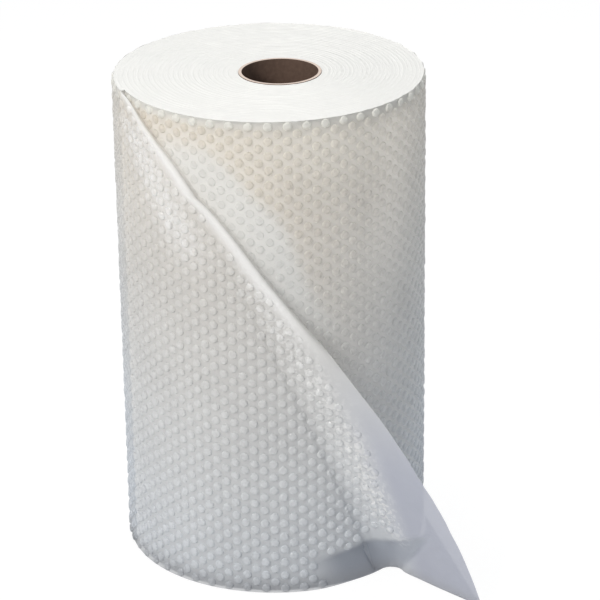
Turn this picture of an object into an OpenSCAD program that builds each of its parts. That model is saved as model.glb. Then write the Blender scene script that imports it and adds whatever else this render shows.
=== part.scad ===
// Roll of bubble wrap, standing on its end.
// Origin: centre of the core's bottom end. +Z runs up the core.
// -Y is the front. Azimuths are counted from there, and grow towards +X.
// The web is wound bubbles outward, a little tighter on one side of the core than on the other.
// Its slant-cut free end peels off the front of the roll and trails on the floor towards +X.

/* [Core tube] */
// Bore of the cardboard core
core_bore = 76; // [50:1:100]
// Wall of the cardboard core
core_wall = 3; // [2:0.5:6]

/* [Roll] */
// Width of the web, which is the height of the standing roll
web_w = 500; // [300:10:750]
// Diameter of the roll over its bubbles
roll_d = 315; // [220:5:420]
// Room that one turn takes: film, bubble and slack
turn_t = 4.5; // [4:0.1:7]
// Clearance between the core and the first turn
core_gap = 0.1; // [0.05:0.05:0.5]
// How far the core sits off the middle of the roll
core_off = 10.5; // [0:0.5:12]
// Azimuth of the side that the core sits nearer to
core_off_az = 72; // [0:1:180]
// Width of the groove that parts two turns at the ends of the roll
seam_w = 1.4; // [0.8:0.1:2]
// Depth of that groove
seam_depth = 2.5; // [1:0.5:8]
// Solid ring left between the bore and the first groove
first_turn = 3; // [1.5:0.5:10]

/* [Bubbles] */
// Diameter of a bubble
bubble_d = 9; // [5:0.1:9]
// Height of a bubble over the film
bubble_h = 3.3; // [2:0.1:3.8]
// Least distance between two columns of bubbles, round the roll
column_pitch = 9.2; // [9.2:0.1:16]
// Distance between two bubbles of a column, up the roll
row_pitch = 14.6; // [12:0.1:24]

/* [Free end] */
// Azimuth at which the slanting cut starts, at the top rim
peel_top_az = -70; // [-85:1:-55]
// Azimuth at which the web leaves the roll, at the floor
peel_foot_az = 40; // [32:1:50]
// Height at which the web leaves the roll at the front
peel_front_z = 255; // [225:5:290]
// Height below which the free end stands away from the roll
peel_z = 420; // [380:5:440]
// Length of the free end along the floor
peel_len = 138; // [90:1:180]
// How far the free end turns outward at the floor
peel_turn = 86; // [50:1:95]
// Radius of the bend by which it leaves the roll
peel_bend = 20; // [12:1:40]
// Thickness of the film of the free end
film_t = 1.2; // [1:0.1:2]
// Width of the bare film along the cut, at the floor
bare_w = 95; // [60:1:110]

/* [Hidden] */

CARD = [0.62, 0.48, 0.38];
FILM = [0.90, 0.91, 0.92];

// Least room left round a bubble, at a cut and beside the line where the web leaves the roll
bubble_room = 0.5;
core_d = core_bore + 2 * core_wall;
bore_d = core_d + 2 * core_gap;
// Film radius of the last full turn, where the slanting cut starts
film_r = roll_d / 2 - bubble_h;
// The roll is a spiral of flat facets, with one column of bubbles on each
columns = floor(360 / (2 * atan(column_pitch / 2 / (film_r - turn_t))));
facet = 360 / columns;
rows = floor((web_w - bubble_d - 2 * bubble_room) / row_pitch + 0.5);
row_margin = (web_w - (rows - 0.5) * row_pitch) / 2;
// Number of facets that the last turn covers, with some degrees to spare for the slanting plane
lap_spare = 25;
lap_end = ceil((peel_foot_az + lap_spare - peel_top_az) / facet);
// Middle of the roll, from the core
roll_middle = -core_off * [sin(core_off_az), -cos(core_off_az), 0];
// Film left between the last groove and the turn outside it
seam_cover = 0.5;
// The grooves' radii go in steps of this, so that the two halves of a turn meet exactly
seam_step = 0.01;
// How deep one piece of the web runs into the next
lap = 1;
// Height over the roll under which the free end leaves no room for a bubble
peel_room = 7;
// How the turn outward and the bare film grow towards the floor
turn_power = 1.6;
// How the free end widens towards the floor
width_power = 0.78;
// Width of the free end at its top, and how far its root runs into the roll
peel_tip = 1;
peel_root = 8;
peel_rows = 20;
peel_cols = 14;
bore_fn = 96;
bubble_fn = 24;

// Place at an azimuth and a radius, seen from above
function at(az, r) = r * [sin(az), -cos(az)];

// Azimuth and film radius of corner k of the spiral. Corner 0 is where the cut starts.
function corner_az(k) = peel_top_az + k * facet;
function corner_r(k) = film_r + turn_t * k / columns;
function corner(k) = at(corner_az(k), corner_r(k));

// The web leaves the roll along a slanting plane through three points of its side.
lift_r = film_r;
function on_side(az, z) = concat(at(az, lift_r), [z]);
lift_top = on_side(peel_top_az, web_w);
lift_front = on_side(0, peel_front_z);
lift_foot = on_side(peel_foot_az, 0);
lift_cross = cross(lift_front - lift_top, lift_foot - lift_top);
lift_normal = lift_cross / norm(lift_cross) * sign(lift_cross.z);
// Distance of a point over that plane
function over_lift(p) = (p - lift_top) * lift_normal;

// Azimuth at which the web leaves the roll at height z: where the plane meets the side
lift_slope = atan2(lift_normal.y, lift_normal.x);
lift_reach = norm([lift_normal.x, lift_normal.y]) * lift_r;
function lift_az(z) =
    let (rise = lift_top * lift_normal - z * lift_normal.z)
    lift_slope + asin(max(-1, min(1, rise / lift_reach)));

// Bend, turn outward and width of the free end at height z
function towards_floor(z) = max(0, 1 - z / peel_z);
function turn_at(z) = peel_turn * pow(towards_floor(z), turn_power);
function width_at(z) = peel_tip + peel_len * pow(towards_floor(z), width_power);
function bare_at(z) = bare_w * pow(towards_floor(z), turn_power);

// Plan of the free end at height z, u along the web from the line where it leaves the roll
function heading(z, u) =
    let (az = lift_az(z), bent = min(turn_at(z), max(0, u) / peel_bend * 180 / PI))
    u < 0 ? az + u / lift_r * 180 / PI : az - bent;
function plan(z, u, r) =
    let (
        az = lift_az(z),
        head = heading(z, u),
        past = max(0, u - peel_bend * turn_at(z) * PI / 180)
    )
    u < 0 ? at(head, r)
          : at(az, r + peel_bend) - at(head, peel_bend) + past * [cos(head), sin(head)];
function outward(z, u) = at(heading(z, u), 1);

peel_r = corner_r(0) - lap / 2;
function peel_point(i, j, depth) =
    let (
        z = peel_z * i / peel_rows,
        u = -peel_root + (width_at(z) + peel_root) * j / peel_cols,
        p = plan(z, u, peel_r) - depth * outward(z, u)
    )
    [p.x, p.y, z];

module bubble() {
    translate([0, 0, -lap / 2])
        cylinder(h = bubble_h + lap / 2, d = bubble_d, $fn = bubble_fn);
}

// Height of bubble j in column k
function bubble_z(j, k) = row_margin + row_pitch * (j + 0.5 * abs(k % 2));

// One column of bubbles on the facet after corner k. Above the line where the web leaves the
// roll they stand on the turn below, and under it on the last turn.
module column(k) {
    a = corner(k);
    b = corner(k + 1);
    middle = (a + b) / 2;
    normal = atan2(b.y - a.y, b.x - a.x) - 90;
    for (j = [0 : rows - 1]) {
        z = bubble_z(j, k);
        p = [middle.x, middle.y, z];
        room = bubble_d / 2 + bubble_room;
        clear_of_peel = z < peel_z ? room + peel_room : room;
        shown = k >= 0 ? over_lift(p) < -room
                       : k >= lap_end - columns || over_lift(p) > clear_of_peel;
        if (shown)
            translate(p) rotate([0, 90, normal]) bubble();
    }
}

// Half a turn of the groove between two turns. It crosses the line through both middles at
// near and far, on the core's side of the roll and on the other.
module half_seam(near, far, start) {
    r = (near + far) / 2;
    translate([near - r, 0, 0])
        rotate([0, 0, start])
            rotate_extrude(angle = 180, $fn = bore_fn)
                translate([r - seam_w, -seam_depth])
                    square([seam_w, 2 * seam_depth]);
}

// The grooves that show the turns at one end of the roll
module seams() {
    outer = film_r - turn_t - seam_cover;
    inner = bore_d / 2 + first_turn;
    turns = floor((outer - turn_t / 4 - inner) / turn_t);
    function in_steps(r) = round(r / seam_step) * seam_step;
    function inward(from, to, turn) = in_steps(from + (to - from) * turn / turns);
    function far(turn) = inward(outer, inner - core_off, turn);
    function near(turn) = inward(outer - turn_t / 2, inner + core_off, turn);
    rotate([0, 0, core_off_az - 90])
        for (turn = [0 : turns - 1]) {
            half_seam(near(turn), far(turn), 0);
            half_seam(near(turn), far(turn + 1), 180);
        }
}

// All full turns, wound tight, as one spiral of flat facets
module wound_turns() {
    difference() {
        linear_extrude(web_w)
            polygon([for (k = [-columns : 0]) corner(k)]);
        translate([0, 0, -lap] - roll_middle)
            cylinder(h = web_w + 2 * lap, d = bore_d, $fn = bore_fn);
        seams();
        translate([0, 0, web_w]) seams();
    }
}

// Half space under the plane along which the web leaves the roll
module below_lift() {
    size = 4 * (web_w + roll_d);
    lean = acos(lift_normal.z);
    translate(lift_top)
        rotate([0, lean, atan2(lift_normal.y, lift_normal.x)])
            translate([-size / 2, -size / 2, -size])
                cube(size);
}

// The part of the last turn that still lies on the roll
module last_turn() {
    outside = [for (k = [0 : lap_end]) corner(k)];
    inside = [for (k = [lap_end : -1 : -1]) at(corner_az(k), corner_r(k - columns) - lap)];
    intersection() {
        linear_extrude(web_w) polygon(concat(outside, inside));
        below_lift();
    }
}

// The film of the free end: a grid of points on its outside and one on its inside
module free_end() {
    per_row = peel_cols + 1;
    side = (peel_rows + 1) * per_row;
    last_i = peel_rows;
    last_j = peel_cols;
    points = [for (depth = [0, film_t], i = [0 : last_i], j = [0 : last_j]) peel_point(i, j, depth)];
    function id(s, i, j) = s * side + i * per_row + j;
    function two(a, b, c, d) = [[a, b, c], [a, c, d]];
    outer = [for (i = [0 : last_i - 1], j = [0 : last_j - 1])
        each two(id(0, i, j), id(0, i + 1, j), id(0, i + 1, j + 1), id(0, i, j + 1))];
    inner = [for (i = [0 : last_i - 1], j = [0 : last_j - 1])
        each two(id(1, i, j), id(1, i, j + 1), id(1, i + 1, j + 1), id(1, i + 1, j))];
    foot = [for (j = [0 : last_j - 1])
        each two(id(0, 0, j), id(0, 0, j + 1), id(1, 0, j + 1), id(1, 0, j))];
    tip = [for (j = [0 : last_j - 1])
        each two(id(0, last_i, j), id(1, last_i, j), id(1, last_i, j + 1), id(0, last_i, j + 1))];
    root = [for (i = [0 : last_i - 1])
        each two(id(0, i, 0), id(1, i, 0), id(1, i + 1, 0), id(0, i + 1, 0))];
    cut = [for (i = [0 : last_i - 1])
        each two(id(0, i, last_j), id(0, i + 1, last_j), id(1, i + 1, last_j), id(1, i, last_j))];
    polyhedron(points, concat(outer, inner, foot, tip, root, cut));
}

// One column of bubbles of the web, where it has left the roll, up to the bare film along the cut
module free_end_column(k) {
    arc = lift_r * PI / 180;
    for (j = [0 : rows - 1]) {
        z = bubble_z(j, k);
        u = arc * (corner_az(k + 0.5) - lift_az(z));
        room = bubble_d / 2 + bubble_room;
        p = plan(z, u, peel_r);
        if (z < peel_z && u > room && u + room < width_at(z) - bare_at(z))
            translate([p.x, p.y, z]) rotate([0, 90, heading(z, u) - 90]) bubble();
    }
}

module core_tube() {
    color(CARD)
        difference() {
            cylinder(h = web_w, d = core_d, $fn = bore_fn);
            translate([0, 0, -lap])
                cylinder(h = web_w + 2 * lap, d = core_bore, $fn = bore_fn);
        }
}

module bubble_web() {
    color(FILM)
        translate(roll_middle) {
            wound_turns();
            last_turn();
            free_end();
            for (k = [-columns : lap_end - 1]) column(k);
            for (k = [0 : lap_end + ceil(peel_len / column_pitch)]) free_end_column(k);
        }
}

core_tube();
bubble_web();
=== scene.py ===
import math
import random

import bmesh
import bpy
from mathutils import Matrix, Quaternion, Vector, noise


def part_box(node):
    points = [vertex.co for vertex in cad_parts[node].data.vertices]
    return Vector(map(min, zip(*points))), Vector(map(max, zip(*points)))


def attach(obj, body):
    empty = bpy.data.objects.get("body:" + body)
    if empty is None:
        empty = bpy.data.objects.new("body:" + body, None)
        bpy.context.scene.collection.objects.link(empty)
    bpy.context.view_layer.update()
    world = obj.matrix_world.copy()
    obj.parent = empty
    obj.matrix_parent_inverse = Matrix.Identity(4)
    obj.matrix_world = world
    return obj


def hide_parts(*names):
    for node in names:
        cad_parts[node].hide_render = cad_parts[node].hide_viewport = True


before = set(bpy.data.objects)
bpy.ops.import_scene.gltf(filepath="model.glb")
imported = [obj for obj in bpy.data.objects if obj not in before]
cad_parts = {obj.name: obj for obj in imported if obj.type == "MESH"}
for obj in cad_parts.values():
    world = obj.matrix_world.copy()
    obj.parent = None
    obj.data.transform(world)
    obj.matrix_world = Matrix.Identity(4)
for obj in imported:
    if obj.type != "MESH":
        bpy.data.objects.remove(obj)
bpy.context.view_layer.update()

# Lengths are in metres. The web is laid out flat first: u runs along the web from the top of
# its slanting cut, z up the roll, h out of the film.
core_low, core_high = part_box("core_tube")
WEB_W = core_high.z - core_low.z
CORE_R = (core_high.x - core_low.x) / 2
CORE_GAP = 0.0003
CORE_OFF = 0.0105
CORE_OFF_AZ = math.radians(72)
ROLL_R = 0.1575
BUBBLE_R = 0.0045
BUBBLE_H = 0.0033
TURN_T = 0.0045
COLUMNS = 102
ROW_PITCH = 0.0146
FILM_R = ROLL_R - BUBBLE_H
TURNS = round((FILM_R - CORE_R) / TURN_T)
COLUMN_PITCH = 2 * math.pi * FILM_R / COLUMNS
ROWS = int((WEB_W - 2 * BUBBLE_R - 0.001) / ROW_PITCH + 0.5)
ROW_MARGIN = (WEB_W - (ROWS - 0.5) * ROW_PITCH) / 2
ROUND = 2 * math.pi * FILM_R

# The free end: where it leaves the roll, how it turns outward and how it widens to the floor
PEEL_TOP = math.radians(-70)
PEEL_FOOT = math.radians(40)
PEEL_FRONT_Z = 0.255
PEEL_Z = 0.420
PEEL_LEN = 0.138
PEEL_TURN = math.radians(86)
PEEL_BEND = 0.020
PEEL_TIP = 0.001
TURN_POWER = 1.6
WIDTH_POWER = 0.78
BARE_W = 0.095

# Above the middle the edge has slackened and spread further over the roll
EDGE_SPREAD = 0.014
EDGE_SPREAD_Z = 0.42
EDGE_SPREAD_REACH = 0.06

# The slack of the free end, the roll of its upper edge, and the tuck of its foot
WIDE_WAVE, FINE_WAVE = 0.0022, 0.0009
HEM_H, HEM_IN, HEM_REACH = 0.0028, 0.010, 0.009
TUCK_DEPTH = 0.0035
CREASE_Z = 0.044
FOLD_U = 0.0255

# The ragged film at the top of the roll
RIM_H = 0.010
RIM_DROP, RIM_FLARE = 0.0022, 0.0012

# Bubbles ring by ring: (rise, share of the last ring's radius)
BUBBLE_ROOT = 0.0003
BUBBLE_CROWN = 0.0002
FULL_BUBBLE = ((0.0015, 0.97), (0.0010, 0.88), (0.0006, 0.70), (0.0002, 0.50))
LEAN_BUBBLE = ((0.0019, 0.95), (0.0010, 0.74))
FULL_SIDES, LEAN_SIDES = 14, 11

# How unevenly the bubbles are lowered, tilted and dented
LEAST_SLACK, TILT = 0.35, 0.15
DENT, DENT_SCALE = 0.0003, 700
LEAST_BUBBLE_H = 0.0001

# The body of the turns under the last one: its bottom and top, and how far inside that turn it is
BODY_LOW, BODY_HIGH = 0.0005, WEB_W - 0.0035
BODY_IN = 0.0006

# Ends of the roll: how far inside the web's edge they lie, their relief, and where across a turn
# the film and the bubbles are
END_DEPTH = 0.0007
END_FILM_H, END_BUBBLE_H, END_BUBBLE_OUT = 0.00025, 0.0001, 0.0006
FILM_SHARE, BUBBLE_SHARE = 0.12, 0.62

# Colours of the film, the first of a pair where its clouds are dark
# Painted light: the film is tinted warmer where its front and top are lit and cooler where its
# side lies in shade
COOL_SHADE_FILM = (0.78, 0.81, 0.85), (0.88, 0.91, 0.95)
WARM_LIT_FILM = (0.80, 0.75, 0.68), (0.90, 0.86, 0.79)
# Painted shade: the bare film of the tail, darker because it turns away from the light
BARE_FILM_SHADE = (0.48, 0.50, 0.58)
# Painted highlight along the rolled upper edge of the cut and on the bright patch near the top of
# the lift
HEM_HIGHLIGHT = (0.99, 0.99, 0.99)
# Painted shade under the crease where the foot of the free end is tucked in
TUCK_SHADE = (0.40, 0.43, 0.49)
# Painted light at the ragged top of the roll, along its front top and in a pale band beside the
# cut
PAINTED_RIM_LIGHT = (0.98, 0.98, 0.95)
FOOT_SHADE = (0.40, 0.41, 0.44)
# Painted glints on the bubbles along the bend
PAINTED_GLINT_WHITE = (1.0, 1.0, 1.0)
PACK_FILM = (0.74, 0.73, 0.71), (0.84, 0.83, 0.82)
TURN_EDGES = (0.83, 0.825, 0.80), (0.89, 0.885, 0.86)
# Kraft brown, painted darker on the wall as shade in the bore and paler on the ends as lit from
# above
CARD_WALL_SHADED = (0.10, 0.060, 0.045), (0.17, 0.11, 0.08)
CARD_END_LIT = (0.62, 0.50, 0.43), (0.80, 0.68, 0.60)


# Winding the flat web


def smooth_step(low, high, value):
    share = max(0, min(1, (value - low) / (high - low)))
    return share * share * (3 - 2 * share)


def hill(value, middle, width):
    return math.exp(-((value - middle) / width) ** 2)


def at(az, r):
    return Vector((r * math.sin(az), -r * math.cos(az), 0))


ROLL_MIDDLE = -at(CORE_OFF_AZ, CORE_OFF)


def lift_plane():
    """A point on the plane along which the web leaves the roll, and the plane's normal."""
    top = at(PEEL_TOP, FILM_R) + Vector((0, 0, WEB_W))
    front = at(0, FILM_R) + Vector((0, 0, PEEL_FRONT_Z))
    foot = at(PEEL_FOOT, FILM_R)
    normal = (front - top).cross(foot - top).normalized()
    return top, normal * math.copysign(1, normal.z)


LIFT_TOP, LIFT_NORMAL = lift_plane()


def lift_az(z):
    rise = LIFT_TOP.dot(LIFT_NORMAL) - z * LIFT_NORMAL.z
    reach = LIFT_NORMAL.to_2d().length * FILM_R
    return math.atan2(LIFT_NORMAL.y, LIFT_NORMAL.x) + math.asin(max(-1, min(1, rise / reach)))


def lift_u(z):
    return (lift_az(z) - PEEL_TOP) * FILM_R


def towards_floor(z):
    return max(0, min(1, 1 - z / PEEL_Z))


def bare_width(z):
    """How wide the film without bubbles is along the cut."""
    return BARE_W * towards_floor(z) ** TURN_POWER


def cut_u(z):
    """How far the web reaches at height z, to its slanting cut."""
    loose_edge = EDGE_SPREAD * hill(z, EDGE_SPREAD_Z, EDGE_SPREAD_REACH)
    return lift_u(z) + PEEL_TIP + PEEL_LEN * towards_floor(z) ** WIDTH_POWER + loose_edge


def wound(u, z, h):
    """Place on the roll of a point of the flat web."""
    place = at(PEEL_TOP + u / FILM_R, FILM_R + TURN_T * u / ROUND + h)
    place.z = z
    return place + ROLL_MIDDLE


def peeled(u, z, h):
    """The same where the free end has left the roll: round its bend, then straight out."""
    past_lift = u - lift_u(z)
    az = lift_az(z)
    turn = PEEL_TURN * towards_floor(z) ** TURN_POWER
    bent = min(turn, past_lift / PEEL_BEND)
    straight = max(0, past_lift - PEEL_BEND * turn)
    heading = az - bent
    place = at(az, FILM_R + PEEL_BEND) - at(heading, PEEL_BEND - h)
    place += Vector((math.cos(heading), math.sin(heading), 0)) * straight
    place.z = z
    return place + ROLL_MIDDLE


def waviness(u, z):
    """How far the slack film of the free end stands out of its even shape."""
    free = smooth_step(-0.05, 0.05, u - lift_u(z))
    wide = noise.noise(Vector((u * 14 + z * 9, z * 16 - u * 5, 2.0)))
    fine = noise.noise(Vector((u * 46 + z * 30, z * 40 - u * 18, 5.0)))
    return free * (WIDE_WAVE * wide + FINE_WAVE * fine)


def hem(u, z):
    """How far the upper edge of the cut rolls up off the turn below."""
    near_cut = hill(u, cut_u(z) - HEM_IN, HEM_REACH)
    return HEM_H * near_cut * smooth_step(0.22, 0.33, z) * (1 - smooth_step(0.475, 0.5, z))


def tuck(u, z):
    """How far the foot of the free end is tucked in, from 0 to 1: under its crease, and on the
    roll's side of the fold where the tail comes out."""
    past_lift = u - lift_u(z)
    crease = CREASE_Z + 0.42 * max(0, past_lift - 0.020) + 0.15 * min(0, past_lift)
    fold = FOLD_U + 0.9 * z
    before_fold = smooth_step(fold + 0.006, fold - 0.006, past_lift)
    along = smooth_step(-0.075, -0.025, past_lift) * before_fold
    return along * smooth_step(crease + 0.002, crease - 0.008, z)


def web_place(u, z, h):
    """Place of a point of the free end, on the roll or off it."""
    h += waviness(u, z) + hem(u, z) - TUCK_DEPTH * tuck(u, z)
    return peeled(u, z, h) if 0 < z < PEEL_Z and u > lift_u(z) else wound(u, z, h)


def rim_place(u, z, h):
    """Place of a point of the last full turn, with its film a little ragged at the top."""
    ragged = smooth_step(RIM_H, 0, WEB_W - z)
    flare = noise.noise(Vector((u * 60, 7.0, 0)))
    drop = abs(noise.noise(Vector((u * 75, 1.0, 4.0))))
    return wound(u, z - RIM_DROP * ragged * drop, h + RIM_FLARE * ragged * flare)


# The lattice of bubbles


def lattice_shift(column):
    return ROW_PITCH / 2 * (column % 2)


def bubble_centre(column, row):
    return (column + 0.5) * COLUMN_PITCH, ROW_MARGIN + lattice_shift(column) + row * ROW_PITCH


def cell(u, z):
    """Column and row of the bubble whose cell holds a place of the flat web."""
    column = math.floor(u / COLUMN_PITCH)
    return column, math.floor((z - ROW_MARGIN - lattice_shift(column)) / ROW_PITCH + 0.5)


def verts_of(geom):
    return [part for part in geom if isinstance(part, bmesh.types.BMVert)]


def one_bubble(bm, sides, rings):
    """A hollow bubble at the origin."""
    verts = bmesh.ops.create_circle(bm, segments=sides, radius=BUBBLE_R)["verts"]
    bmesh.ops.translate(bm, verts=verts, vec=(0, 0, -BUBBLE_ROOT))
    rim = list({edge for vert in verts for edge in vert.link_edges})
    for rise, share in rings:
        grown = bmesh.ops.extrude_edge_only(bm, edges=rim)["geom"]
        verts = verts_of(grown)
        rim = [part for part in grown if isinstance(part, bmesh.types.BMEdge)]
        bmesh.ops.translate(bm, verts=verts, vec=(0, 0, rise))
        bmesh.ops.scale(bm, vec=(share, share, 1), verts=verts)
    top = bmesh.ops.contextual_create(bm, geom=rim)["faces"]
    middle = bmesh.ops.poke(bm, faces=top)["verts"]
    bmesh.ops.translate(bm, verts=middle, vec=(0, 0, BUBBLE_CROWN))


def flat_bubbles(first, last, sides, rings):
    """The bubbles of the flat web's columns from first to last."""
    bm = bmesh.new()
    one_bubble(bm, sides, rings)
    bubble = bm.verts[:] + bm.edges[:] + bm.faces[:]
    for row in range(1, ROWS):
        copy = bmesh.ops.duplicate(bm, geom=bubble)["geom"]
        bmesh.ops.translate(bm, verts=verts_of(copy), vec=(0, row * ROW_PITCH, 0))
    column_geom = bm.verts[:] + bm.edges[:] + bm.faces[:]
    column_verts = bm.verts[:]
    for column in range(first + 1, last + 1):
        copy = bmesh.ops.duplicate(bm, geom=column_geom)["geom"]
        bmesh.ops.translate(bm, verts=verts_of(copy), vec=(*bubble_centre(column, 0), 0))
    bmesh.ops.translate(bm, verts=column_verts, vec=(*bubble_centre(first, 0), 0))
    return bm


def keep_bubbles(bm, kept):
    """Drops the bubbles whose centre fails the test."""
    dropped = [v for v in bm.verts if not kept(*bubble_centre(*cell(v.co.x, v.co.y)))]
    bmesh.ops.delete(bm, geom=dropped, context="VERTS")


def slacken(bm, slack):
    """Lowers and dents each bubble by its own chance amount, so that no two shine alike."""
    for vert in bm.verts:
        column, row = cell(vert.co.x, vert.co.y)
        u, z = bubble_centre(column, row)
        chance = random.Random(column * 1009 + row)
        low = 1 - slack(u, z) * (LEAST_SLACK + (1 - LEAST_SLACK) * chance.random())
        lean = Vector((chance.uniform(-1, 1), chance.uniform(-1, 1)))
        tilt = ((vert.co.x - u) * lean.x + (vert.co.y - z) * lean.y) / BUBBLE_R
        if vert.co.z > 0:
            dent = DENT * noise.noise(Vector((vert.co.x, vert.co.y, 0)) * DENT_SCALE)
            lowered = vert.co.z * low * (1 + TILT * tilt) + dent
            vert.co.z = min(BUBBLE_H, max(LEAST_BUBBLE_H, lowered))


def film_sheet(bm, u_low, u_high, steps_u, steps_z):
    """A flat grid of film from u_low(z) to u_high(z)."""
    grid = bmesh.ops.create_grid(bm, x_segments=steps_u, y_segments=steps_z, size=0.5)
    for vert in grid["verts"]:
        z = (vert.co.y + 0.5) * WEB_W
        along = vert.co.x + 0.5
        vert.co = (u_low(z) + along * (u_high(z) - u_low(z)), z, 0)


def keep_marks(bm, name, marks):
    """Keeps four marks of each place of the flat web, for the material."""
    layer = bm.verts.layers.float_color.new(name)
    for vert in bm.verts:
        vert[layer] = marks(vert.co.x, vert.co.y)


def wind(bm, place):
    for vert in bm.verts:
        vert.co = place(vert.co.x, vert.co.y, vert.co.z)


def new_piece(name, bm, material):
    mesh = bpy.data.meshes.new(name)
    bm.to_mesh(mesh)
    bm.free()
    for face in mesh.polygons:
        face.use_smooth = True
    piece = bpy.data.objects.new(name, mesh)
    bpy.context.scene.collection.objects.link(piece)
    mesh.materials.append(material)
    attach(piece, "root")
    return piece


# Materials. The owner of a node is a material or the world.


def new_material(name):
    material = bpy.data.materials.new(name)
    material.use_nodes = True
    return material, material.node_tree.nodes["Principled BSDF"]


def feed(owner, value, socket):
    """Sets a socket to a number or a colour, or links it to another."""
    if isinstance(value, bpy.types.NodeSocket):
        owner.node_tree.links.new(value, socket)
    else:
        socket.default_value = (*value, 1) if isinstance(value, tuple) else value


def blend(material, share, first, second):
    """A colour between two others."""
    node = material.node_tree.nodes.new("ShaderNodeMix")
    node.data_type = "RGBA"
    feed(material, share, node.inputs["Factor"])
    ends = [socket for socket in node.inputs if socket.type == "RGBA"]
    feed(material, first, ends[0])
    feed(material, second, ends[1])
    return next(socket for socket in node.outputs if socket.type == "RGBA")


def between(material, value, low, high):
    """low where the value is 0, high where it is 1."""
    node = material.node_tree.nodes.new("ShaderNodeMapRange")
    feed(material, value, node.inputs["Value"])
    node.inputs["To Min"].default_value = low
    node.inputs["To Max"].default_value = high
    return node.outputs["Result"]


def calculate(owner, operation, first, second):
    """A sum on two values, its result held from 0 to 1."""
    node = owner.node_tree.nodes.new("ShaderNodeMath")
    node.operation = operation
    node.use_clamp = True
    feed(owner, first, node.inputs[0])
    feed(owner, second, node.inputs[1])
    return node.outputs[0]


def mix_shaders(owner, share, first, second, result):
    mix = owner.node_tree.nodes.new("ShaderNodeMixShader")
    feed(owner, share, mix.inputs[0])
    feed(owner, first, mix.inputs[1])
    feed(owner, second, mix.inputs[2])
    feed(owner, mix.outputs[0], owner.node_tree.nodes[result].inputs["Surface"])


def marks_of(material, name):
    """The four marks that keep_marks kept under a name."""
    kept = material.node_tree.nodes.new("ShaderNodeAttribute")
    kept.attribute_name = name
    parts = material.node_tree.nodes.new("ShaderNodeSeparateColor")
    feed(material, kept.outputs["Color"], parts.inputs["Color"])
    return [parts.outputs[part] for part in ("Red", "Green", "Blue")] + [kept.outputs["Alpha"]]


def film_relief_group():
    """Slack film: fine creases for the bump, soft clouds where layers show, and a mask of small
    painted glints.
    """
    group = bpy.data.node_groups.new("film_relief", "ShaderNodeTree")
    scales = ("Crease Scale", "Cloud Scale", "Glint Scale")
    for name in scales:
        group.interface.new_socket(name, in_out="INPUT", socket_type="NodeSocketFloat")
    for name in ("Height", "Cloud", "Glint"):
        group.interface.new_socket(name, in_out="OUTPUT", socket_type="NodeSocketFloat")
    nodes, links = group.nodes, group.links
    given = nodes.new("NodeGroupInput")
    result = nodes.new("NodeGroupOutput")
    place = nodes.new("ShaderNodeTexCoord")
    patterns = []
    for scale, detail in zip(scales, (3, 4, 1)):
        pattern = nodes.new("ShaderNodeTexNoise")
        pattern.inputs["Detail"].default_value = detail
        links.new(place.outputs["Object"], pattern.inputs["Vector"])
        links.new(given.outputs[scale], pattern.inputs["Scale"])
        patterns.append(pattern)
    creases, clouds, sparks = patterns
    creases.inputs["Distortion"].default_value = 1.2
    peaks = nodes.new("ShaderNodeMapRange")
    peaks.inputs["From Min"].default_value = 0.51
    peaks.inputs["From Max"].default_value = 0.58
    links.new(sparks.outputs["Fac"], peaks.inputs["Value"])
    links.new(creases.outputs["Fac"], result.inputs["Height"])
    links.new(clouds.outputs["Fac"], result.inputs["Cloud"])
    links.new(peaks.outputs["Result"], result.inputs["Glint"])
    return group


FILM_RELIEF = film_relief_group()


def add_relief(material, crease_scale, cloud_scale, glint_scale):
    """The film's height, clouds and glints, as three sockets."""
    relief = material.node_tree.nodes.new("ShaderNodeGroup")
    relief.node_tree = FILM_RELIEF
    relief.inputs["Crease Scale"].default_value = crease_scale
    relief.inputs["Cloud Scale"].default_value = cloud_scale
    relief.inputs["Glint Scale"].default_value = glint_scale
    return relief.outputs["Height"], relief.outputs["Cloud"], relief.outputs["Glint"]


def add_bump(material, surface, height, strength):
    bump = material.node_tree.nodes.new("ShaderNodeBump")
    bump.inputs["Distance"].default_value = 0.001
    feed(material, strength, bump.inputs["Strength"])
    feed(material, height, bump.inputs["Height"])
    feed(material, bump.outputs["Normal"], surface.inputs["Normal"])


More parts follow.
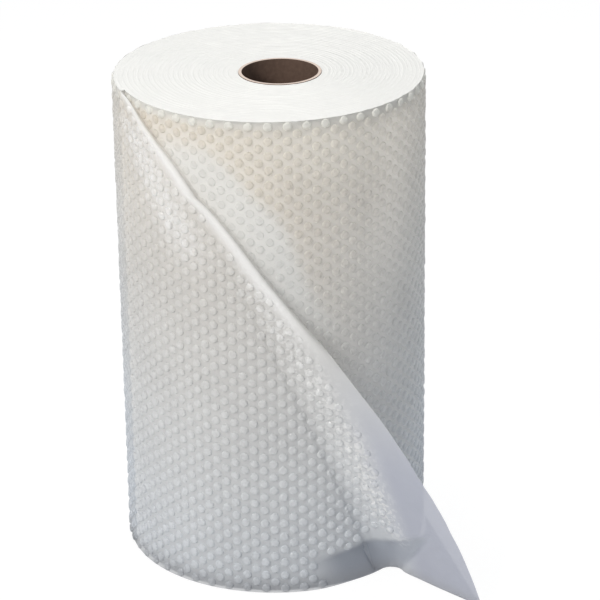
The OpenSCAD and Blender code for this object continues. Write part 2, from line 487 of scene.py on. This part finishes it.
def film_material(name, seen_through, lit_through):
    """Milky film over what lies under it. seen_through is its cover seen face on, and
    lit_through the share of its light that comes from behind."""
    material, surface = new_material(name)
    nodes = material.node_tree.nodes
    height, cloud, glint = add_relief(material, crease_scale=160, cloud_scale=14, glint_scale=210)
    bare, shine, hem_highlight, tucked = marks_of(material, "finish_and_painted_light")
    painted_warmth, painted_light, shade, fade = marks_of(material, "painted_tone")
    painted_glint = calculate(material, "MULTIPLY", shine, glint)

    # Painted light and shade in the film's colour: warmer where lit, cooler in shade, the darker
    # bare tail, the highlight along the rolled edge, the shade under the tuck, light at the rim
    # and beside the cut, shade at the foot, and white glints
    cool_shade_film = blend(material, cloud, *COOL_SHADE_FILM)
    warm_lit_film = blend(material, cloud, *WARM_LIT_FILM)
    colour = blend(material, painted_warmth, cool_shade_film, warm_lit_film)
    for share, other in (
        (bare, BARE_FILM_SHADE),
        (hem_highlight, HEM_HIGHLIGHT),
        (tucked, TUCK_SHADE),
        (painted_light, PAINTED_RIM_LIGHT),
        (shade, FOOT_SHADE),
        (painted_glint, PAINTED_GLINT_WHITE),
    ):
        colour = blend(material, share, colour, other)
    feed(material, colour, surface.inputs["Base Color"])
    feed(material, between(material, shine, low=0.42, high=0.14), surface.inputs["Roughness"])
    feed(material, between(material, shine, low=0.10, high=1.0), surface.inputs["Coat Weight"])
    surface.inputs["Coat Roughness"].default_value = 0.06
    surface.inputs["IOR"].default_value = 1.5

    slant = nodes.new("ShaderNodeLayerWeight")
    slant.inputs["Blend"].default_value = 0.35
    cover = between(material, slant.outputs["Facing"], low=seen_through, high=0.90)
    for share in (hem_highlight, bare, tucked, painted_light):
        more = calculate(material, "MULTIPLY", share, 0.25)
        cover = calculate(material, "ADD", cover, more)
    cover = calculate(material, "SUBTRACT", cover, fade)
    feed(material, cover, surface.inputs["Alpha"])

    behind = nodes.new("ShaderNodeBsdfTranslucent")
    feed(material, colour, behind.inputs["Color"])
    mix_shaders(material, lit_through, surface.outputs[0], behind.outputs[0], "Material Output")
    add_bump(material, surface, height, between(material, shine, low=0.30, high=0.9))
    return material


def pack_material(name, dark, light, bumps):
    """Many layers of film, too deep to see through."""
    material, surface = new_material(name)
    height, cloud, _ = add_relief(material, crease_scale=90, cloud_scale=9, glint_scale=200)
    feed(material, blend(material, cloud, dark, light), surface.inputs["Base Color"])
    add_bump(material, surface, height, bumps)
    surface.inputs["Roughness"].default_value = 0.5
    return material


def card_material():
    """Kraft tube with painted light and shade: its level ends painted pale as if lit from above,
    its wall painted dark brown as shade in the bore.
    """
    material, surface = new_material("core_card")
    nodes = material.node_tree.nodes
    place = nodes.new("ShaderNodeTexCoord")
    fibre = nodes.new("ShaderNodeTexNoise")
    fibre.inputs["Scale"].default_value = 260
    fibre.inputs["Detail"].default_value = 6
    feed(material, place.outputs["Object"], fibre.inputs["Vector"])
    fibres = fibre.outputs["Fac"]
    wall = blend(material, fibres, *CARD_WALL_SHADED)
    end = blend(material, fibres, *CARD_END_LIT)
    facing = nodes.new("ShaderNodeNewGeometry")
    slope = nodes.new("ShaderNodeSeparateXYZ")
    feed(material, facing.outputs["True Normal"], slope.inputs["Vector"])
    level = calculate(material, "ABSOLUTE", slope.outputs["Z"], 0.0)
    feed(material, blend(material, level, wall, end), surface.inputs["Base Color"])
    add_bump(material, surface, fibres, 0.4)
    surface.inputs["Roughness"].default_value = 0.9
    return material


# Marks on the flat web. Their numbers are heights and distances in metres.


def under_last_turn(u, z):
    """Is a place of the last full turn hidden under the web that was wound over it? At the foot
    that web lies further over it."""
    reach = 0.040 if z < 0.055 else -0.004
    return z < WEB_W - 0.01 and u + ROUND < lift_u(z) + reach


def turn_finish_and_painted_light(u, z):
    """The same four marks as end_finish_and_painted_light: the last full turn has none of them."""
    return 0, 0, 0, 0


def end_finish_and_painted_light(u, z):
    """Where the free end is bare, painted darker there as shade; where it shines, glossier and
    with painted glints; where its edge rolls up, painted as a highlight; where it is tucked,
    painted as shade.
    """
    past_lift = u - lift_u(z)
    to_cut = cut_u(z) - u
    bare_w = bare_width(z)
    low_down = 1 - smooth_step(0.12, 0.30, z)
    bare = (1 - smooth_step(bare_w - 0.02, bare_w + 0.02, to_cut)) * low_down
    # The band along the bend and the patch near the top of the lift: glossier there, with painted
    # glints on them
    line = hill(past_lift, 0.010 + 0.042 * towards_floor(z), 0.020)
    low_band = line * (1 - smooth_step(0.32, 0.38, z)) * smooth_step(0.03, 0.08, z)
    near_lift = hill(past_lift, -0.036, 0.024)
    patch = near_lift * smooth_step(0.33, 0.39, z) * (1 - smooth_step(0.465, 0.485, z))
    # Painted highlight along the rolled edge, whiter still on the patch
    hem_highlight = 0.85 * hill(to_cut, 0.011, 0.012) * smooth_step(0.24, 0.34, z)
    shine = min(1, low_band + patch) * (1 - bare)
    return bare, shine, min(1, hem_highlight + 0.5 * patch), tuck(u, z)


def flat_painted_highlight(u, z):
    """How flat the bubbles of the last full turn lie next to the cut over it, and how much painted
    highlight lies there in a pale band.
    """
    past_cut = u + ROUND - cut_u(z)
    reach = 0.016 + 0.036 * smooth_step(0.30, 0.42, z)
    band = smooth_step(0.24, 0.34, z) * (1 - smooth_step(0.455, 0.485, z))
    from_cut = band * smooth_step(-0.03, 0, past_cut)
    return from_cut * smooth_step(reach + 0.014, reach - 0.010, past_cut)


def painted_tone(u, z):
    """Painted light and shade of the web: warmer on its lit front and higher up, light at its rim,
    along its front top and beside the cut, shade at its foot; and how its cut fades out.
    """
    az = PEEL_TOP + (u + ROUND if u < 0 else u) / FILM_R
    on_roll = 1 - smooth_step(-0.03, 0.03, u)
    painted_warmth = 1.6 * z + on_roll * (0.42 * hill(az, -0.5, 1.2) - 0.2)
    rim = 0.006 + 0.004 * noise.noise(Vector((u * 90, 3.0, 1.0)))
    painted_front_light = 0.35 * smooth_step(0.38, 0.50, z) * hill(az, 0, 0.9)
    painted_light = max(smooth_step(rim + 0.005, rim, WEB_W - z), painted_front_light)
    painted_highlight = flat_painted_highlight(u, z) if u < 0 else 0
    painted_warmth = max(0, min(1, painted_warmth)) * (1 - 0.55 * painted_highlight)
    shade = 0.6 * smooth_step(0.022, 0, z)
    fade = smooth_step(0.008, 0, cut_u(z) - u) * smooth_step(0.24, 0.34, z)
    return painted_warmth, max(painted_light * on_roll, 0.35 * painted_highlight), shade, fade


# Pieces of the web


def last_full_turn(material):
    """The web's last turn before its cut begins, where bubbles are hidden without them."""
    bm = flat_bubbles(-COLUMNS, -1, LEAN_SIDES, LEAN_BUBBLE)
    keep_bubbles(bm, lambda u, z: not under_last_turn(u, z))
    slacken(bm, lambda u, z: 0.35 + 1.3 * flat_painted_highlight(u, z))
    film_sheet(bm, lambda z: -ROUND, lambda z: 0, steps_u=306, steps_z=40)
    keep_marks(bm, "finish_and_painted_light", turn_finish_and_painted_light)
    keep_marks(bm, "painted_tone", painted_tone)
    wind(bm, rim_place)
    return new_piece("last_full_turn", bm, material)


def free_end_bubbles(material):
    """Bubbles of the web past the start of its cut, up to the bare film along the cut."""
    bm = flat_bubbles(0, int(cut_u(0) / COLUMN_PITCH), FULL_SIDES, FULL_BUBBLE)

    def slack(u, z):
        bare_w = bare_width(z)
        return 0.9 - 0.52 * smooth_step(bare_w, bare_w + 0.02, cut_u(z) - u)

    def kept(u, z):
        margin = 0.001 + 0.016 * smooth_step(0.26, 0.34, z)
        in_web = u + BUBBLE_R + max(margin, bare_width(z) - 0.004) < cut_u(z)
        folded = z < 0.060 and u > lift_u(z) + 0.012
        return in_web and tuck(u, z) < 0.2 and not folded

    keep_bubbles(bm, kept)
    slacken(bm, slack)
    keep_marks(bm, "finish_and_painted_light", end_finish_and_painted_light)
    keep_marks(bm, "painted_tone", painted_tone)
    wind(bm, web_place)
    return new_piece("free_end_bubbles", bm, material)


def free_end_film(material):
    """The film of the web past the start of its cut: some still lies on the roll."""
    bm = bmesh.new()
    film_sheet(bm, lambda z: -0.002, cut_u, steps_u=200, steps_z=180)
    keep_marks(bm, "finish_and_painted_light", end_finish_and_painted_light)
    keep_marks(bm, "painted_tone", painted_tone)
    wind(bm, web_place)
    return new_piece("free_end_film", bm, material)


def pack_body(material):
    """The turns under the last one, as one body round the core."""
    bm = bmesh.new()
    body_r = FILM_R - TURN_T - BODY_IN
    body_h = BODY_HIGH - BODY_LOW
    bmesh.ops.create_cone(bm, segments=160, radius1=body_r, radius2=body_r, depth=body_h)
    middle = (ROLL_MIDDLE.x, ROLL_MIDDLE.y, (BODY_LOW + BODY_HIGH) / 2)
    bmesh.ops.translate(bm, verts=bm.verts, vec=middle)
    rims = [edge for edge in bm.edges if abs(edge.verts[0].co.z - edge.verts[1].co.z) < 0.001]
    grown = bmesh.ops.extrude_edge_only(bm, edges=rims)["geom"]
    for vert in verts_of(grown):
        inward = (vert.co - ROLL_MIDDLE).to_2d().normalized() * (CORE_R + CORE_GAP)
        vert.co = (inward.x, inward.y, vert.co.z)
    bmesh.ops.recalc_face_normals(bm, faces=bm.faces)
    return new_piece("pack_body", bm, material)


def spiral(turn):
    """How far a turn's middle has moved towards the core's, and how big the turn is."""
    middle = CORE_OFF * max(0, turn - 1) / (TURNS - 1)
    return middle, FILM_R - (FILM_R - CORE_R - CORE_GAP) * turn / TURNS


def turn_end(name, level, out, steps_round, across, material):
    """One end of the roll: the film's edge and the bubbles of every turn, seen end on. The
    steps round a turn are a whole number, so that each turn meets the next corner to corner."""
    bm = bmesh.new()
    laps = TURNS - 1
    grid = bmesh.ops.create_grid(bm, x_segments=steps_round * laps, y_segments=across, size=0.5)
    for vert in grid["verts"]:
        turn = laps * (0.5 - vert.co.x)
        share = vert.co.y + 0.5
        inner_middle, inner_r = spiral(turn + 1 if turn < TURNS - 2 else TURNS)
        outer_middle, outer_r = spiral(turn)
        middle = inner_middle + share * (outer_middle - inner_middle)
        r = inner_r + share * (outer_r - inner_r)
        az = PEEL_TOP - 2 * math.pi * turn
        wave = math.cos(2 * math.pi * turn * ROUND / COLUMN_PITCH * r / FILM_R)
        ragged = noise.noise(Vector((math.sin(az) * r * 70, math.cos(az) * r * 70, level)))
        film = hill(share, FILM_SHARE, 0.11) + hill(share, FILM_SHARE + 1, 0.11)
        bubble = hill(share, BUBBLE_SHARE, 0.22)
        rise = END_FILM_H * film * (1 + ragged) + END_BUBBLE_H * bubble * wave - END_DEPTH
        swollen = r + END_BUBBLE_OUT * wave * share * (1 - share)
        place = at(CORE_OFF_AZ, middle) + at(az, swollen) + ROLL_MIDDLE
        vert.co = (place.x, place.y, level + out * rise)
    bmesh.ops.recalc_face_normals(bm, faces=bm.faces)
    return new_piece(name, bm, material)


def make_web():
    turn_film = film_material("turn_film", seen_through=0.34, lit_through=0.42)
    end_film = film_material("end_film", seen_through=0.58, lit_through=0.18)
    pack_film = pack_material("pack_film", *PACK_FILM, bumps=0.25)
    end_edges = pack_material("turn_edges", *TURN_EDGES, bumps=0.15)
    film, bubbles = free_end_film(end_film), free_end_bubbles(end_film)
    pieces = [
        pack_body(pack_film),
        turn_end("top_end", WEB_W, out=1, steps_round=390, across=9, material=end_edges),
        turn_end("bottom_end", 0, out=-1, steps_round=174, across=7, material=end_edges),
        last_full_turn(turn_film),
        film,
        bubbles,
    ]
    for piece in pieces:
        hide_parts("bubble_web")


def finish_core():
    card = card_material()
    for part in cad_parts["core_tube"].material_slots:
        part.material = card


# Camera, floor and light


CAMERA_PLACE = Vector((0, -2.6395, 1.3910)) + ROLL_MIDDLE
CAMERA_AIM = Vector((0, 0, 0.250)) + ROLL_MIDDLE
CAMERA_YAW, CAMERA_PITCH, CAMERA_ROLL = -0.00925, 0.00107, 0.01788
CAMERA_LENS, SENSOR = 169.15, 36
FLOOR_SIZE = 6
FLOOR_WHITE, FLOOR_WHITE_SHARE = 1.12, 0.8
SKY_STRENGTH = 0.40


def make_camera():
    data = bpy.data.cameras.new("camera")
    data.lens = CAMERA_LENS
    data.sensor_width = SENSOR
    camera = bpy.data.objects.new("camera", data)
    bpy.context.scene.collection.objects.link(camera)
    forward = (CAMERA_AIM - CAMERA_PLACE).normalized()
    right = forward.cross(Vector((0, 0, 1))).normalized()
    up = right.cross(forward)
    for axis, angle in ((up, CAMERA_YAW), (right, CAMERA_PITCH), (forward, CAMERA_ROLL)):
        turned = Quaternion(axis, angle)
        forward, right, up = turned @ forward, turned @ right, turned @ up
    turn = Matrix((right, up, -forward)).transposed().to_4x4()
    camera.matrix_world = Matrix.Translation(CAMERA_PLACE) @ turn
    bpy.context.scene.camera = camera


def white_to_rays(owner, first, second):
    """One socket that is 1 for the two kinds of ray that see the studio as white."""
    rays = owner.node_tree.nodes.new("ShaderNodeLightPath")
    return calculate(owner, "MAXIMUM", rays.outputs[first], rays.outputs[second])


def make_floor():
    bm = bmesh.new()
    bmesh.ops.create_grid(bm, x_segments=1, y_segments=1, size=FLOOR_SIZE)
    mesh = bpy.data.meshes.new("floor")
    bm.to_mesh(mesh)
    bm.free()
    floor = bpy.data.objects.new("floor", mesh)
    bpy.context.scene.collection.objects.link(floor)
    material, surface = new_material("white_floor")
    surface.inputs["Base Color"].default_value = (0.8, 0.8, 0.8, 1)
    surface.inputs["Roughness"].default_value = 0.9
    seen_white = white_to_rays(material, "Is Camera Ray", "Is Glossy Ray")
    share = calculate(material, "MULTIPLY", seen_white, FLOOR_WHITE_SHARE)
    white = material.node_tree.nodes.new("ShaderNodeEmission")
    white.inputs["Strength"].default_value = FLOOR_WHITE
    mix_shaders(material, share, surface.outputs[0], white.outputs[0], "Material Output")
    mesh.materials.append(material)


def make_lamp(name, place, aim, size, power, colour):
    data = bpy.data.lights.new(name, "AREA")
    data.shape = "DISK"
    data.size = size
    data.energy = power
    data.color = colour
    lamp = bpy.data.objects.new(name, data)
    bpy.context.scene.collection.objects.link(lamp)
    turn = (Vector(aim) - Vector(place)).to_track_quat("-Z", "Y").to_matrix().to_4x4()
    lamp.matrix_world = Matrix.Translation(place) @ turn


def make_lamps():
    make_lamp("key_lamp", (-1.5, -2.0, 1.9), aim=(0, 0, 0.3),
              size=0.8, power=46.5, colour=(1.0, 0.97, 0.93))
    make_lamp("glint_lamp", (1.2, -2.3, 1.2), aim=(0.05, -0.15, 0.2),
              size=0.05, power=2, colour=(1.0, 1.0, 1.0))
    make_lamp("top_lamp", (0.1, 0.5, 2.6), aim=(0, 0, 0.4),
              size=1.2, power=22.5, colour=(1.0, 0.99, 0.97))


def make_world():
    world = bpy.data.worlds.new("studio")
    bpy.context.scene.world = world
    world.use_nodes = True
    sky = world.node_tree.nodes["Background"]
    sky.inputs["Color"].default_value = (0.92, 0.96, 1.0, 1)
    sky.inputs["Strength"].default_value = SKY_STRENGTH
    white = world.node_tree.nodes.new("ShaderNodeBackground")
    seen_white = white_to_rays(world, "Is Camera Ray", "Is Transmission Ray")
    mix_shaders(world, seen_white, sky.outputs[0], white.outputs[0], "World Output")


make_camera()
make_floor()
make_world()
make_lamps()
make_web()
finish_core()
bpy.context.scene.view_settings.view_transform = "Standard"
